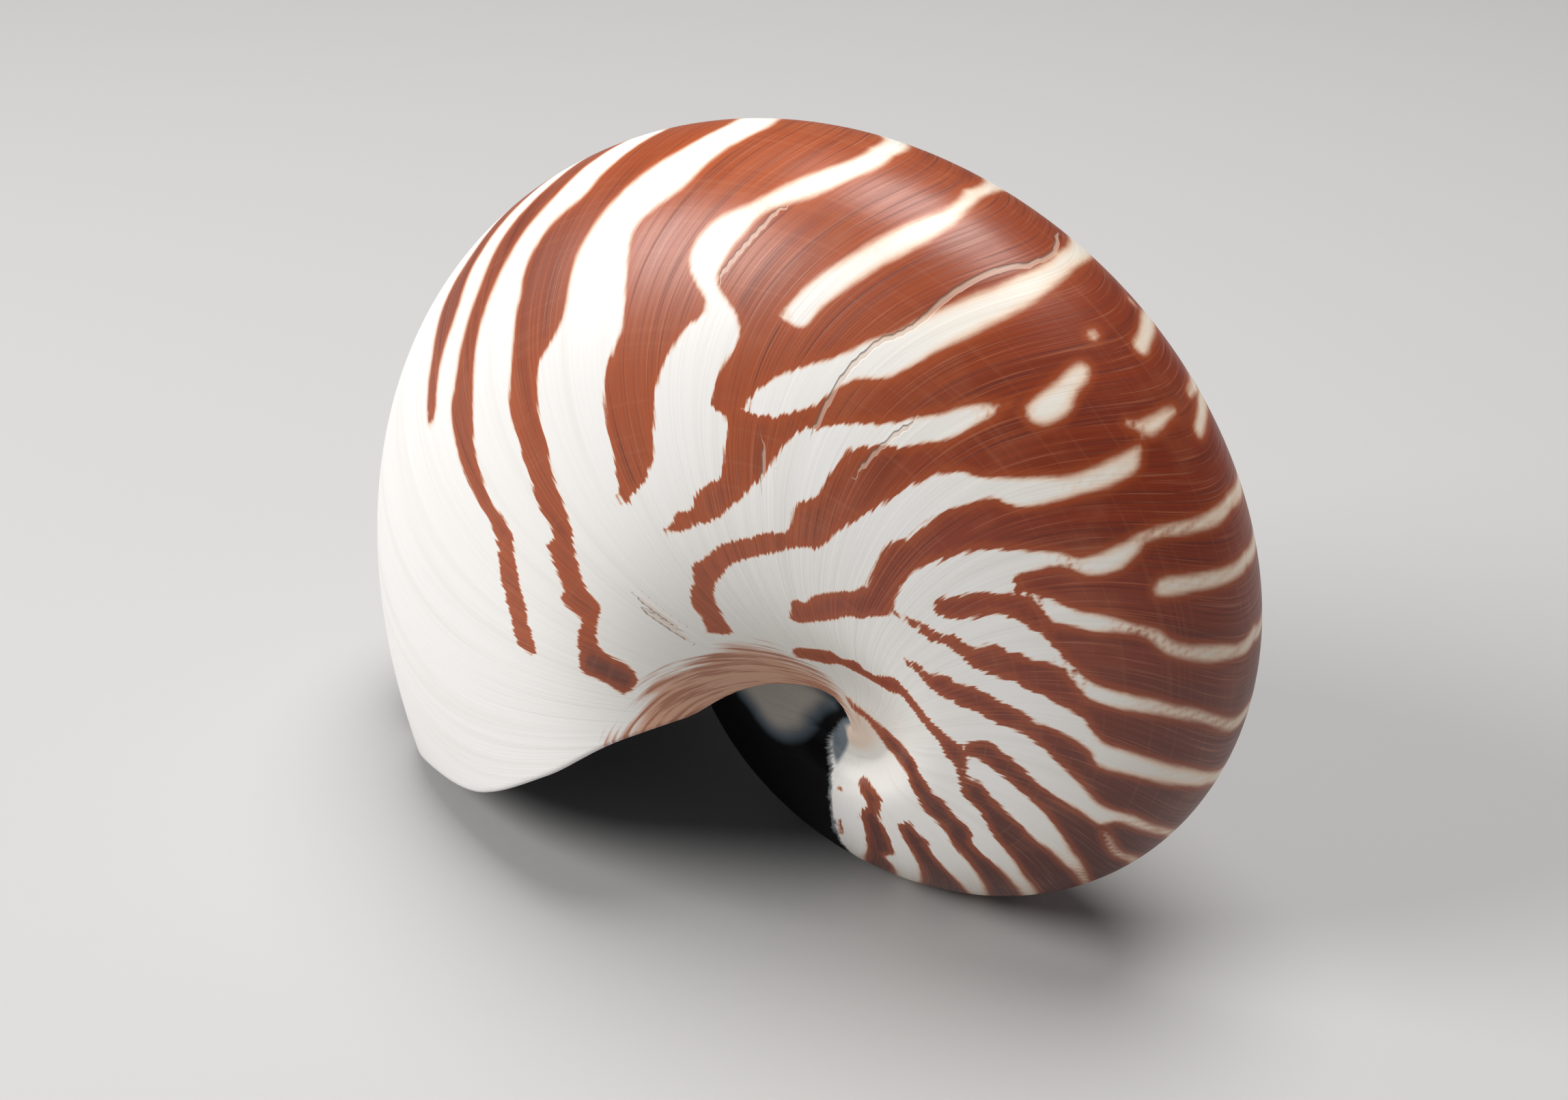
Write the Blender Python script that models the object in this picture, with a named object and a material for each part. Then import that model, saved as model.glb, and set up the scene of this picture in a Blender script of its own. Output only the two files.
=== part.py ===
"""A chambered nautilus shell, standing on its lip and its keel. One closed solid in metres, +Z up.

The coil's axis runs along Y and the shell is the same on both sides of the XZ plane. Angles are measured
about that axis from +X up towards +Z, so the shell grows over the top to its mouth at the lower left.
Every section through the axis is the same shape, larger by a fixed share for each degree of the coil.
"""

import math

import bmesh
import bpy
import numpy as np

# The spiral and its section. Shares are of the radius at that angle.
COIL_RADIUS = 0.0573  # from the coil's axis to the keel, at angle 0
GROWTH_PER_TURN = 2.7
HALF_WIDTH = 0.42
KEEL_POWER = 2.4
FLANK_POWER = 2.18
UMBILICUS_DIP = 0.5
UMBILICUS_DIP_REACH = 0.21

# The closed umbilicus, in metres. It lies a little in front of and below the coil's axis.
UMBILICUS_HEIGHT = 0.0185
UMBILICUS_PLUG_RADIUS = 0.0075
UMBILICUS_SHIFT = (0.0049, -0.0102)
UMBILICUS_SHIFT_REACH = 0.0168

# The mouth's edge: the angle that it reaches, from the umbilicus (share 0) to the keel (share 1).
LIP_SHARES = (0.0, 0.06, 0.12, 0.18, 0.25, 0.4, 0.6, 0.8, 0.92, 1.0)
LIP_ANGLES = (89.4, 100.4, 147.7, 188.8, 199.4, 208.2, 211.2, 208.8, 208.4, 198.0)

# The wall, and the body chamber inside it.
WALL = 0.0014
LIP_ROUNDING = 0.0005
CHAMBER_END_ANGLE = 20.0
CHAMBER_END_HOLLOW = 0.007
SEAM_RADIUS = 0.006  # where the chamber's inner wall meets the whorl that it wraps

# How finely the surfaces are divided.
STEPS_AROUND = 72
STEPS_INSIDE = 26
STEPS_ACROSS_HALF = 16
STEPS_PLUG = 2
STEPS_SEPTUM = 3
FLANK_PHASE = math.radians(80)
CROWDING = 1.4  # how much closer the columns stand near the umbilicus, where the lip hooks
LIP_MAIN_ANGLE = 208.0

GROWTH = math.log(GROWTH_PER_TURN) / math.tau
COLOUR = (0.78, 0.70, 0.58, 1.0)


def radius(angle):
    """The keel's distance from the coil's axis at an angle in degrees."""
    return COIL_RADIUS * np.exp(GROWTH * np.radians(angle))


def outer_surface(angle, share, side):
    """Points of the outside: share 0 is the umbilicus and 1 the keel, side -1 is the near flank."""
    reach = radius(angle)
    out = reach * share
    rise = np.maximum(1 - share**KEEL_POWER, 0) ** (1 / FLANK_POWER)
    dip = 1 - UMBILICUS_DIP * np.exp(-((share / UMBILICUS_DIP_REACH) ** 2))
    plug = np.exp(-((out / UMBILICUS_PLUG_RADIUS) ** 2))
    across = UMBILICUS_HEIGHT * plug + reach * HALF_WIDTH * rise * dip * (1 - plug)
    shift = np.exp(-((out / UMBILICUS_SHIFT_REACH) ** 2))
    turn = np.radians(angle)
    x = out * np.cos(turn) + UMBILICUS_SHIFT[0] * shift
    z = out * np.sin(turn) + UMBILICUS_SHIFT[1] * shift
    return np.stack([x, across * side, z], -1)


def inner_surface(angle, share, side):
    """The outside moved inwards by the wall's thickness, along the surface's own normal."""
    step_angle, step_share = 0.05, 1e-4
    low, high = np.maximum(share - step_share, 0), np.minimum(share + step_share, 1)
    along = outer_surface(angle + step_angle, share, side) - outer_surface(angle - step_angle, share, side)
    across = outer_surface(angle, high, side) - outer_surface(angle, low, side)
    normal = np.cross(across, along) * side[..., None]
    keel = side == 0
    turn = np.radians(angle[keel])
    normal[keel] = np.stack([-np.cos(turn), 0 * turn, -np.sin(turn)], -1)
    normal /= np.linalg.norm(normal, axis=-1, keepdims=True)
    return outer_surface(angle, share, side) + WALL * normal


def lip_angle(share):
    """A smooth curve through the lip's points that never overshoots them."""
    x, y = np.array(LIP_SHARES), np.array(LIP_ANGLES)
    slope = np.diff(y) / np.diff(x)
    before, after = slope[:-1], slope[1:]
    same_way = before * after > 0
    middle = np.where(same_way, 2 * before * after / np.where(same_way, before + after, 1), 0)
    tangent = np.concatenate([slope[:1], middle, slope[-1:]])
    i = np.clip(np.searchsorted(x, share) - 1, 0, len(x) - 2)
    width = x[i + 1] - x[i]
    t = (share - x[i]) / width
    start = y[i] * (1 + 2 * t) * (1 - t) ** 2 + tangent[i] * width * t * (1 - t) ** 2
    end = y[i + 1] * t**2 * (3 - 2 * t) + tangent[i + 1] * width * t**2 * (t - 1)
    return start + end


def share_of_column(column, angle):
    """Column 0 is the keel and 1 the circle at the seam's radius round the umbilicus."""
    seam = SEAM_RADIUS / radius(angle)
    across = 1 - (1 - column) ** CROWDING
    return 1 - (1 - seam) * (np.sin(FLANK_PHASE * across) / math.sin(FLANK_PHASE)) ** FLANK_POWER


def lip_of_columns(columns):
    angle = np.full(columns.shape, LIP_ANGLES[-1])
    for _ in range(60):
        angle = lip_angle(share_of_column(columns, angle))
    return angle


def lip_of_ring(out):
    angle = LIP_ANGLES[0]
    for _ in range(60):
        angle = float(lip_angle(out / radius(angle)))
    return angle


class Skin:
    """Points and faces of the solid, gathered sheet by sheet."""

    def __init__(self):
        self.points, self.quads, self.triangles, self.count = [], [], [], 0

    def add(self, points):
        index = np.arange(points[..., 0].size).reshape(points.shape[:-1]) + self.count
        self.points.append(points.reshape(-1, 3))
        self.count += index.size
        return index

    def sheet(self, index):
        corners = (index[:-1, :-1], index[1:, :-1], index[1:, 1:], index[:-1, 1:])
        self.quads.append(np.stack([corner.ravel() for corner in corners], -1))

    def zip(self, left, right):
        """Triangles between two chains of points that may differ in length."""
        i = j = 0
        while i < len(left) - 1 or j < len(right) - 1:
            step_left = (i + 1) / max(len(left) - 1, 1) if i < len(left) - 1 else 9.0
            step_right = (j + 1) / max(len(right) - 1, 1) if j < len(right) - 1 else 9.0
            if step_left <= step_right:
                self.triangles.append([int(left[i]), int(right[j]), int(left[i + 1])])
                i += 1
            else:
                self.triangles.append([int(left[i]), int(right[j]), int(right[j + 1])])
                j += 1

    def faces(self, points):
        """All faces as triangles. A quad is parted along its shorter diagonal."""
        a, b, c, d = np.concatenate(self.quads).T
        first = np.linalg.norm(points[a] - points[c], axis=1)
        second = np.linalg.norm(points[b] - points[d], axis=1)
        along_first = (first <= second)[:, None]
        one = np.where(along_first, np.stack([a, b, c], -1), np.stack([a, b, d], -1))
        other = np.where(along_first, np.stack([a, c, d], -1), np.stack([b, c, d], -1))
        return np.concatenate([one, other, np.array(self.triangles)]).tolist()


def rows_between(first, last, count):
    """Angles in rows from one edge to the other, both given for each column."""
    part = np.linspace(0, 1, count + 1)[:, None]
    return first + (last - first) * part


def rows_of_whorl(lip):
    """The last whorl's rows: both ends follow the lip, and the rows between straighten out."""
    part = np.linspace(0, 1, STEPS_AROUND + 1)[:, None]
    return LIP_MAIN_ANGLE - 360 * (1 - part) + (lip - LIP_MAIN_ANGLE) * np.abs(2 * part - 1)


def shell_skin():
    skin = Skin()
    half = np.arange(STEPS_ACROSS_HALF, -1, -1) / STEPS_ACROSS_HALF
    columns = np.concatenate([half, half[-2::-1]])
    side = np.concatenate([-np.ones(STEPS_ACROSS_HALF), [0.0], np.ones(STEPS_ACROSS_HALF)])
    lip = lip_of_columns(columns)
    chamber_end = np.full(lip.shape, CHAMBER_END_ANGLE)

    def points_of(surface, angle):
        return surface(angle, share_of_column(columns, angle), side + 0 * angle)

    outside = skin.add(points_of(outer_surface, rows_of_whorl(lip)))
    floor_of_chamber = rows_between(chamber_end - 360, lip - 360, STEPS_INSIDE)[:-1]
    wrapped = np.vstack([skin.add(points_of(outer_surface, floor_of_chamber)), outside[:1]])
    inside = skin.add(points_of(inner_surface, rows_between(lip, chamber_end, STEPS_INSIDE)))
    edge = np.stack([points_of(outer_surface, lip), points_of(inner_surface, lip)]).mean(axis=0)
    forward = points_of(outer_surface, lip + 0.5) - points_of(outer_surface, lip)
    forward /= np.linalg.norm(forward, axis=-1, keepdims=True)
    rim = skin.add(edge + LIP_ROUNDING * forward)
    for index in (outside, wrapped, inside, np.stack([outside[-1], rim, inside[0]])):
        skin.sheet(index)

    # The septum that ends the chamber is hollow towards the mouth.
    outer_edge = points_of(inner_surface, chamber_end)
    inner_edge = points_of(outer_surface, chamber_end - 360)
    part = np.linspace(0, 1, STEPS_SEPTUM + 2)[1:-1, None, None]
    turn = math.radians(CHAMBER_END_ANGLE)
    backward = np.array([math.sin(turn), 0, -math.cos(turn)])
    bulge = CHAMBER_END_HOLLOW * 4 * part * (1 - part) * (1 - columns[:, None] ** 4)
    septum = skin.add((outer_edge + (inner_edge - outer_edge) * part + bulge * backward)[:, 1:-1])
    skin.sheet(np.vstack([inside[-1:, 1:-1], septum, wrapped[:1, 1:-1]]))

    for edge_column, next_column in ((0, 0), (-1, -1)):
        chain = [inside[-1, 1:-1][next_column], *septum[:, next_column], wrapped[0, 1:-1][next_column]]
        skin.zip([inside[-1, edge_column], wrapped[0, edge_column]], chain)
        skin.sheet(np.stack([inside[:, edge_column], wrapped[::-1, edge_column]]))
        close_umbilicus(skin, outside, rim, inside, edge_column, side[edge_column])
    return skin


def close_umbilicus(skin, outside, rim, inside, column, side):
    """Rings from the seam's circle in to the pole, and the lip's last step, which dies out there."""
    rings = [outside[:, column]]
    for out in np.linspace(SEAM_RADIUS, 0, STEPS_PLUG + 2)[1:-1]:
        end = lip_of_ring(out)
        angle = rows_of_whorl(np.array([end]))[:, 0]
        rings.append(skin.add(outer_surface(angle, out / radius(angle), np.full(angle.shape, side))))
    skin.sheet(np.stack(rings))
    pole = skin.add(outer_surface(np.zeros(1), np.zeros(1), np.array([side])))[0]
    last = rings[-1]
    skin.triangles += [[int(last[i]), int(last[i + 1]), int(pole)] for i in range(STEPS_AROUND)]
    skin.triangles.append([int(last[-1]), int(last[0]), int(pole)])
    skin.zip([outside[-1, column], rim[column], inside[0, column], outside[0, column]],
             [rings[1][-1], rings[1][0]])
    for outer, inner in zip(rings[1:-1], rings[2:]):
        skin.quads.append(np.array([[outer[-1], inner[-1], inner[0], outer[0]]]))


def stand_on_floor(points):
    """The keel's underside is worn flat at the height of the lip's crests, so it stands on all three."""
    lip = lip_of_columns(np.linspace(0, 1, STEPS_ACROSS_HALF + 1))
    share = share_of_column(np.linspace(0, 1, STEPS_ACROSS_HALF + 1), lip)
    floor = outer_surface(lip, share, -np.ones(lip.shape))[:, 2].min()
    points[:, 2] = np.maximum(points[:, 2], floor)
    middle = (points.min(axis=0) + points.max(axis=0)) / 2
    return points - [middle[0], middle[1], floor]


def build_shell(collection):
    skin = shell_skin()
    points = stand_on_floor(np.concatenate(skin.points))
    mesh = bpy.data.meshes.new("shell")
    mesh.from_pydata(points.tolist(), [], skin.faces(points))
    work = bmesh.new()
    work.from_mesh(mesh)
    bmesh.ops.recalc_face_normals(work, faces=work.faces)
    work.to_mesh(mesh)
    work.free()
    mesh.shade_smooth()
    shell = bpy.data.objects.new("shell", mesh)
    shell.data.materials.append(shell_material())
    collection.objects.link(shell)


def shell_material():
    material = bpy.data.materials.new("shell aragonite")
    material.use_nodes = True
    surface = material.node_tree.nodes["Principled BSDF"]
    surface.inputs["Base Color"].default_value = COLOUR
    surface.inputs["Roughness"].default_value = 0.25
    surface.inputs["Metallic"].default_value = 0.0
    return material


def main():
    for old in list(bpy.data.objects):
        bpy.data.objects.remove(old, do_unlink=True)
    collection = bpy.data.collections.new("nautilus shell")
    bpy.context.scene.collection.children.link(collection)
    build_shell(collection)


main()
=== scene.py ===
import math
from functools import partial

import bmesh
import bpy
import numpy as np
from mathutils import Matrix, Vector


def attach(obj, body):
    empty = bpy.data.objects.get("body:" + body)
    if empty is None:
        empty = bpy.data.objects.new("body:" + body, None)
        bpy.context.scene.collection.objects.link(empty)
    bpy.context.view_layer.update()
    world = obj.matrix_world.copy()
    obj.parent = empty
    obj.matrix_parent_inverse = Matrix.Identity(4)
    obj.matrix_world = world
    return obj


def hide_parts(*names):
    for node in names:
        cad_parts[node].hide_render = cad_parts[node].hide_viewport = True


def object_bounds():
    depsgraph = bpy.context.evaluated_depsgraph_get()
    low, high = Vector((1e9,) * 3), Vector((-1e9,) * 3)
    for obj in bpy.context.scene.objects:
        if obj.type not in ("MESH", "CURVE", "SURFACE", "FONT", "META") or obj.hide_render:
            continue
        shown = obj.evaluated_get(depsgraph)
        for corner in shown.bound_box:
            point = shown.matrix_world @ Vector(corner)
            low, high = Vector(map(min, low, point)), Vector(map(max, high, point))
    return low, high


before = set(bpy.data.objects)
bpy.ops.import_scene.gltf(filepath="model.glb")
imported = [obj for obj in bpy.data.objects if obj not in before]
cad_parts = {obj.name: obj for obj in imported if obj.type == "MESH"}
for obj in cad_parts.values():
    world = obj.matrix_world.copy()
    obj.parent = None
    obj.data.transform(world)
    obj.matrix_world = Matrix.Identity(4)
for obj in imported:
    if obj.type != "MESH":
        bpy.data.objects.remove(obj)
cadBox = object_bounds()
print("frame loaded")

mm = 0.001


# sRGB hex to the linear values that Blender's colour sockets take
def paint(code):
    parts = [int(code[i:i + 2], 16) / 255 for i in (1, 3, 5)]
    linear = [p / 12.92 if p <= 0.04045 else ((p + 0.055) / 1.055) ** 2.4 for p in parts]
    return (*linear, 1.0)


# adds one node: its inputs in order, each a value or the socket that feeds it, its settings, and the
# output to hand on, by name where the first isn't meant
def addNode(tree, kind, inputs, out=None, **settings):
    node = tree.nodes.new("ShaderNode" + kind)
    for name, value in settings.items():
        setattr(node, name, value)
    for socket, value in zip([socket for socket in node.inputs if socket.enabled], inputs):
        if isinstance(value, bpy.types.NodeSocket):
            tree.links.new(value, socket)
        else:
            socket.default_value = value
    return next(socket for socket in node.outputs if socket.enabled and out in (None, socket.name))


# the shell's form, in millimetres, degrees and shares of the radius at that angle
shellForm = {
    "coilRadius": 57.3,          # keel to the coil's axis at angle 0
    "growthPerTurn": 2.7,
    "halfWidth": 0.42,
    "keelPower": 2.4,            # a and b of the section's formula below
    "flankPower": 2.18,
    "dip": 0.5,                  # how deep the flank sinks towards the umbilicus
    "dipReach": 0.21,
    "plugHeight": 18.5,          # the umbilicus is closed by a plug of fixed size
    "plugRadius": 7.5,
    "plugShift": (4.9, -10.2),   # along x and z, from the coil's axis
    "plugShiftReach": 16.8,
    "lipShares": (0.0, 0.06, 0.12, 0.18, 0.25, 0.4, 0.6, 0.8, 0.92, 1.0),
    "lipAngles": (89.4, 100.4, 147.7, 188.8, 199.4, 208.2, 211.2, 208.8, 208.4, 198.0),
    "lipMainAngle": 208.0,
    "wall": 1.4,
    "lipRounding": 0.6,
    "chamberEnd": 20.0,          # angle of the last septum
    "septumHollow": 7.0,
    "seamRadius": 6.0,
    "flankPhase": 80.0,
    "crowding": 1.4,
    "rowsAround": 396,
    "rowsInside": 50,
    "columnsHalf": 88,
    "rowsRim": 4,
    "rowsSeptum": 10,
    "rowsPlug": 4,
    "lipRounds": 60,             # times that the lip's angle is worked out from its own radius
    "lipSamples": 400,
}
growth = math.log(shellForm["growthPerTurn"]) / math.tau


# keel radius grows by the same share each degree: R = R0 e^(k angle)
def keelRadius(angle):
    return shellForm["coilRadius"] * np.exp(growth * np.radians(angle))


# the outside: x, z turn about the axis at radius R s, and y = half width of the section,
# (1 - s^a)^(1/b), sunk by a bell round the umbilicus and closed by a plug of fixed height
def outerPoint(angle, share, side):
    form = shellForm
    reach = keelRadius(angle)
    out = reach * share
    rise = np.maximum(1 - share ** form["keelPower"], 0) ** (1 / form["flankPower"])
    dip = 1 - form["dip"] * np.exp(-(share / form["dipReach"]) ** 2)
    plug = np.exp(-(out / form["plugRadius"]) ** 2)
    across = form["plugHeight"] * plug + reach * form["halfWidth"] * rise * dip * (1 - plug)
    shift = np.exp(-(out / form["plugShiftReach"]) ** 2)
    turn = np.radians(angle)
    x = out * np.cos(turn) + form["plugShift"][0] * shift
    z = out * np.sin(turn) + form["plugShift"][1] * shift
    return np.stack([x, across * side, z], -1)


# the unit normal that points out, from small steps along and across the coil
def outwardNormal(angle, share, side):
    stepAngle, stepShare = 0.05, 1e-4
    low, high = np.maximum(share - stepShare, 0), np.minimum(share + stepShare, 1)
    along = outerPoint(angle + stepAngle, share, side) - outerPoint(angle - stepAngle, share, side)
    across = outerPoint(angle, high, side) - outerPoint(angle, low, side)
    normal = np.cross(along, across) * side[..., None]
    keel = side == 0
    turn = np.radians(angle[keel])
    normal[keel] = np.stack([np.cos(turn), 0 * turn, np.sin(turn)], -1)
    return normal / np.maximum(np.linalg.norm(normal, axis=-1, keepdims=True), 1e-12)


def innerPoint(angle, share, side):
    return outerPoint(angle, share, side) - shellForm["wall"] * outwardNormal(angle, share, side)


# the lip: a smooth curve through its points that never overshoots them
def lipAngle(share):
    x, y = np.array(shellForm["lipShares"]), np.array(shellForm["lipAngles"])
    slope = np.diff(y) / np.diff(x)
    before, after = slope[:-1], slope[1:]
    sameWay = before * after > 0
    middle = np.where(sameWay, 2 * before * after / np.where(sameWay, before + after, 1), 0)
    tangent = np.concatenate([slope[:1], middle, slope[-1:]])
    i = np.clip(np.searchsorted(x, share) - 1, 0, len(x) - 2)
    width = x[i + 1] - x[i]
    t = (share - x[i]) / width
    start = y[i] * (1 + 2 * t) * (1 - t) ** 2 + tangent[i] * width * t * (1 - t) ** 2
    end = y[i + 1] * t ** 2 * (3 - 2 * t) + tangent[i + 1] * width * t ** 2 * (t - 1)
    return start + end


# flank position: 0 on the keel, 1 at the umbilicus, about even in millimetres between them
def shareOfFlank(flank):
    phase = math.radians(shellForm["flankPhase"])
    return 1 - (np.sin(phase * np.abs(flank)) / math.sin(phase)) ** shellForm["flankPower"]


def flankOfShare(share):
    phase = math.radians(shellForm["flankPhase"])
    rise = np.maximum(1 - share, 0) ** (1 / shellForm["flankPower"])
    return np.arcsin(np.clip(rise * math.sin(phase), 0, 1)) / phase


# a mesh column: 0 on the keel and 1 on the seam's circle round the umbilicus
def shareOfColumn(column, angle):
    seam = shellForm["seamRadius"] / keelRadius(angle)
    across = 1 - (1 - column) ** shellForm["crowding"]
    return 1 - (1 - seam) * (1 - shareOfFlank(across))


def lipOfColumns(columns):
    angle = np.full(columns.shape, shellForm["lipAngles"][-1])
    for _ in range(shellForm["lipRounds"]):
        angle = lipAngle(shareOfColumn(columns, angle))
    return angle


def lipOfRing(out):
    angle = shellForm["lipAngles"][0]
    for _ in range(shellForm["lipRounds"]):
        angle = float(lipAngle(out / keelRadius(angle)))
    return angle


# rows of the last whorl, even in millimetres: both ends follow the lip and the middle is straight
def rowsOfWhorl(lip):
    part = np.linspace(0, 1, shellForm["rowsAround"] + 1)[:, None]
    turnPart = np.log(1 + part * (shellForm["growthPerTurn"] - 1)) / math.log(shellForm["growthPerTurn"])
    main = shellForm["lipMainAngle"]
    return main - 360 * (1 - turnPart) + (lip - main) * np.abs(2 * turnPart - 1)


# points and faces gathered sheet by sheet, with each point's angle, share and side
class Skin:
    def __init__(self):
        self.points, self.where, self.quads, self.triangles, self.count = [], [], [], [], 0

    def add(self, points, angle, share, side, inside):
        index = np.arange(points[..., 0].size).reshape(points.shape[:-1]) + self.count
        facts = np.broadcast_arrays(angle, share, side, inside, points[..., 0])[:4]
        self.points.append(points.reshape(-1, 3))
        self.where.append(np.stack([fact.ravel() for fact in facts], -1))
        self.count += index.size
        return index

    def sheet(self, index):
        corners = (index[:-1, :-1], index[1:, :-1], index[1:, 1:], index[:-1, 1:])
        self.quads.append(np.stack([corner.ravel() for corner in corners], -1))

    def fan(self, chain, tip):
        chain = np.asarray(chain)
        self.triangles.append(np.stack([chain[:-1], chain[1:], np.full(len(chain) - 1, tip)], -1))


def shellSkin():
    form = shellForm
    skin = Skin()
    half = np.arange(form["columnsHalf"], -1, -1) / form["columnsHalf"]
    columns = np.concatenate([half, half[-2::-1]])
    side = np.concatenate([-np.ones(form["columnsHalf"]), [0.0], np.ones(form["columnsHalf"])])
    lip = lipOfColumns(columns)
    end = np.full(lip.shape, form["chamberEnd"])

    def sheetOf(surface, angle, inside):
        share, sides = shareOfColumn(columns, angle), side + 0 * angle
        return skin.add(surface(angle, share, sides), angle, share, sides, inside)

    part = np.linspace(0, 1, form["rowsInside"] + 1)[:, None] ** 1.5   # closer rows near the mouth
    outside = sheetOf(outerPoint, rowsOfWhorl(lip), 0)
    wrapped = sheetOf(outerPoint, (lip + (end - lip) * part - 360)[:0:-1], 0)
    wrapped = np.vstack([wrapped, outside[:1]])
    inside = sheetOf(innerPoint, lip + (end - lip) * part, 1)

    # the rounded rim of the lip, half a turn from the outside to the inside
    share = shareOfColumn(columns, lip)
    outer, inner = outerPoint(lip, share, side), innerPoint(lip, share, side)
    forward = outerPoint(lip + 0.5, share, side) - outer
    forward /= np.linalg.norm(forward, axis=-1, keepdims=True)
    turn = np.linspace(0, math.pi, form["rowsRim"] + 1)[1:-1, None, None]
    rim = (outer + inner) / 2 + np.cos(turn) * (outer - inner) / 2
    rim = rim + np.sin(turn) * form["lipRounding"] * forward
    rim = skin.add(rim, lip, share, side, np.linspace(0, 0.6, form["rowsRim"] - 1)[:, None])

    # the last septum, hollow towards the mouth
    across = np.linspace(0, 1, form["rowsSeptum"] + 1)[1:-1, None, None]
    septumTurn = math.radians(form["chamberEnd"])
    backward = np.array([math.sin(septumTurn), 0, -math.cos(septumTurn)])
    share = shareOfColumn(columns, end)
    outer = innerPoint(end, share, side)
    inner = outerPoint(end - 360, shareOfColumn(columns, end - 360), side)
    bulge = form["septumHollow"] * 4 * across * (1 - across) * (1 - columns[:, None] ** 4)
    septum = skin.add(outer + (inner - outer) * across + bulge * backward, end, share, side, 1)

    for index in (outside, wrapped, inside, np.vstack([outside[-1:], rim, inside[:1]]),
                  np.vstack([inside[-1:], septum, wrapped[:1]])):
        skin.sheet(index)

    points = np.concatenate(skin.points)
    for column in (0, -1):
        closeUmbilicus(skin, points, outside, rim, inside, septum, wrapped, column, side[column])
    return skin


# each side's seam between the chamber's wall and the whorl that it wraps, and the plug's rings
def closeUmbilicus(skin, points, outside, rim, inside, septum, wrapped, column, side):
    form = shellForm
    top, bottom = inside[:-1, column], wrapped[:0:-1, column]
    across = np.linspace(0, 1, form["rowsSeptum"] + 1)[1:-1, None, None]
    strip = points[top] + (points[bottom] - points[top]) * across
    strip = skin.add(strip, 0, 0, side, 1)
    strip = np.hstack([strip, septum[:, column][:, None]])
    skin.sheet(np.vstack([inside[:, column][None], strip, wrapped[::-1, column][None]]))

    # inside the seam's circle the surface runs straight to the pole, so that no bump stands there
    rings, seam = [outside[:, column]], points[outside[:, column], 1]
    poleHeight = seam.mean()
    for out in np.linspace(form["seamRadius"], 0, form["rowsPlug"] + 2)[1:-1]:
        angle = rowsOfWhorl(np.array([lipOfRing(out)]))[:, 0]
        share = out / keelRadius(angle)
        sides = np.full(angle.shape, side)
        ring = outerPoint(angle, share, sides)
        ring[:, 1] = poleHeight + (seam - poleHeight) * out / form["seamRadius"]
        rings.append(skin.add(ring, angle, share, sides, 0))
    skin.sheet(np.stack(rings))
    pole = outerPoint(np.zeros(1), np.zeros(1), np.array([side]))
    pole[:, 1] = poleHeight
    pole = skin.add(pole, 0, 0, side, 0)[0]
    skin.fan([rings[-1][0], *rings[-1][::-1]], pole)
    lipEnd = [outside[-1, column], *rim[:, column], inside[0, column], *strip[:, 0], outside[0, column]]
    skin.fan([rings[1][-1], *lipEnd], rings[1][0])
    for outer, inner in zip(rings[1:-1], rings[2:]):
        skin.quads.append(np.array([[outer[-1], inner[-1], inner[0], outer[0]]]))


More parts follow.
